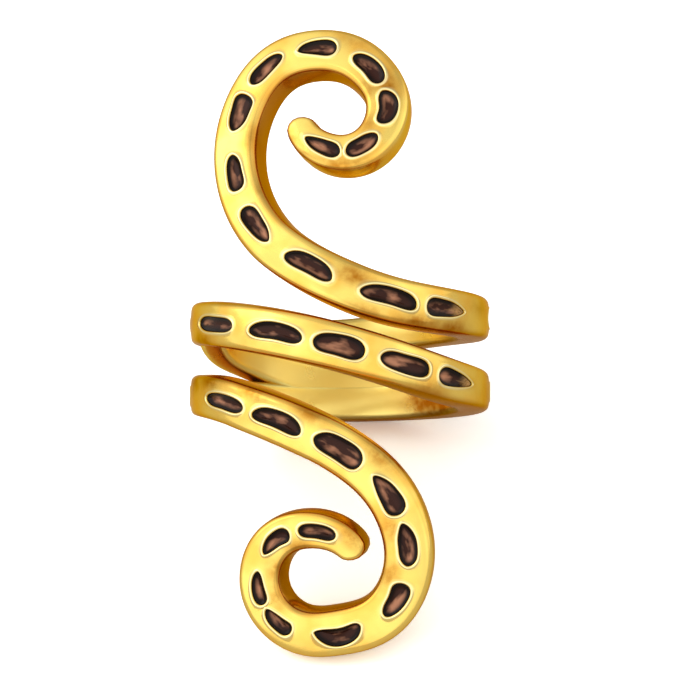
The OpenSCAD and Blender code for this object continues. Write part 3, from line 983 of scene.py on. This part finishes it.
def make_floor():
    bpy.ops.mesh.primitive_grid_add(x_subdivisions=FLOOR_CELLS, y_subdivisions=FLOOR_CELLS, size=FLOOR_W)
    floor = bpy.context.object
    floor.name = "floor"
    material, tree, shader = nodes_of("floor")
    tree.links.new(blend(tree, seen(tree), FLOOR, FLOOR_SEEN), shader.inputs["Base Color"])
    shader.inputs["Roughness"].default_value = FLOOR_ROUGH
    shader.inputs["Specular IOR Level"].default_value = 0.0
    floor.data.materials.append(material)


make_floor()

# The camera stands where the photograph's did, to the right of the ring's front and a little below
# its middle, and turns with the ring as it leans back
VIEW_SIDE = 18
VIEW_RISE = -4.5
VIEW_W = 43.2 * MM
AIM_UP = 1.1 * MM
SENSOR_W = 36
LENS = 500
DISTANCE = VIEW_W * LENS / SENSOR_W
NEAREST = 0.05
FARTHEST = 20


def direction(side, rise):
    """Direction from the upright ring, in degrees to its right and above its front."""
    a, e = math.radians(side), math.radians(rise)
    return Vector((math.sin(a) * math.cos(e), -math.cos(a) * math.cos(e), math.sin(e)))


def make_camera():
    back = direction(VIEW_SIDE, VIEW_RISE)
    turn = math.radians(VIEW_SIDE)
    right = Vector((math.cos(turn), math.sin(turn), 0))
    axes = Matrix((right, back.cross(right), back)).transposed()
    stand = Matrix.Translation(axes @ Vector((0, AIM_UP, DISTANCE)))
    camera = bpy.data.objects.new("camera", bpy.data.cameras.new("camera"))
    bpy.context.scene.collection.objects.link(camera)
    camera.data.lens = LENS
    camera.data.sensor_width = SENSOR_W
    camera.data.clip_start = NEAREST
    camera.data.clip_end = FARTHEST
    camera.matrix_world = to_rest @ stand @ axes.to_4x4()
    bpy.context.scene.camera = camera


make_camera()


def towards(side, rise):
    """The same direction as the ring rests."""
    return turned.to_3x3() @ direction(side, rise)


# Height that the lights are aimed at
RING_MIDDLE_H = 12 * MM


def softbox(name, side, rise, away, size, brightness):
    """An area light that faces the ring, with its distance and size in metres."""
    light = bpy.data.lights.new(name, "AREA")
    light.shape = "RECTANGLE"
    light.size, light.size_y = size
    light.energy = brightness * math.pi * size[0] * size[1]
    lamp = bpy.data.objects.new(name, light)
    bpy.context.scene.collection.objects.link(lamp)
    way = towards(side, rise)
    lamp.location = Vector((0, 0, RING_MIDDLE_H)) + way * away
    lamp.rotation_mode = "QUATERNION"
    lamp.rotation_quaternion = way.to_track_quat("Z", "Y")


# Broad soft light of the studio: side, rise, where it fades from and to in degrees, brightness
GLOWS = [
    (-55, 5, 15, 65, 0.5), (-35, 50, 15, 45, 0.3), (100, 15, 10, 40, 0.5), (-25, -30, 10, 45, 0.4),
    (50, 10, 10, 45, 0.5), (0, 8, 5, 30, 0.4), (20, -30, 10, 45, 0.4),
]
STUDIO = 0.6


def make_studio():
    world = bpy.data.worlds.new("studio")
    bpy.context.scene.world = world
    world.use_nodes = True
    tree = world.node_tree
    place_node = tree.nodes.new("ShaderNodeTexCoord")
    total = STUDIO
    for side, rise, inner, outer, brightness in GLOWS:
        dot = tree.nodes.new("ShaderNodeVectorMath")
        dot.operation = "DOT_PRODUCT"
        tree.links.new(place_node.outputs["Generated"], dot.inputs[0])
        dot.inputs[1].default_value = towards(side, rise)
        glow = tree.nodes.new("ShaderNodeMapRange")
        glow.interpolation_type = "SMOOTHSTEP"
        glow.inputs["From Min"].default_value = math.cos(math.radians(outer))
        glow.inputs["From Max"].default_value = math.cos(math.radians(inner))
        glow.inputs["To Max"].default_value = brightness
        tree.links.new(dot.outputs["Value"], glow.inputs["Value"])
        total = math_node(tree, "ADD", total, glow.outputs["Result"])
    backdrop = math_node(tree, "MULTIPLY", seen(tree), BACKDROP_SEEN)
    strength = math_node(tree, "MAXIMUM", total, backdrop)
    background = tree.nodes["Background"]
    background.inputs["Color"].default_value = (1, 1, 1, 1)
    tree.links.new(strength, background.inputs["Strength"])


softbox("key", side=-48, rise=22, away=0.5, size=(0.26, 0.36), brightness=0.9)
make_studio()
bpy.context.scene.view_settings.view_transform = "Standard"
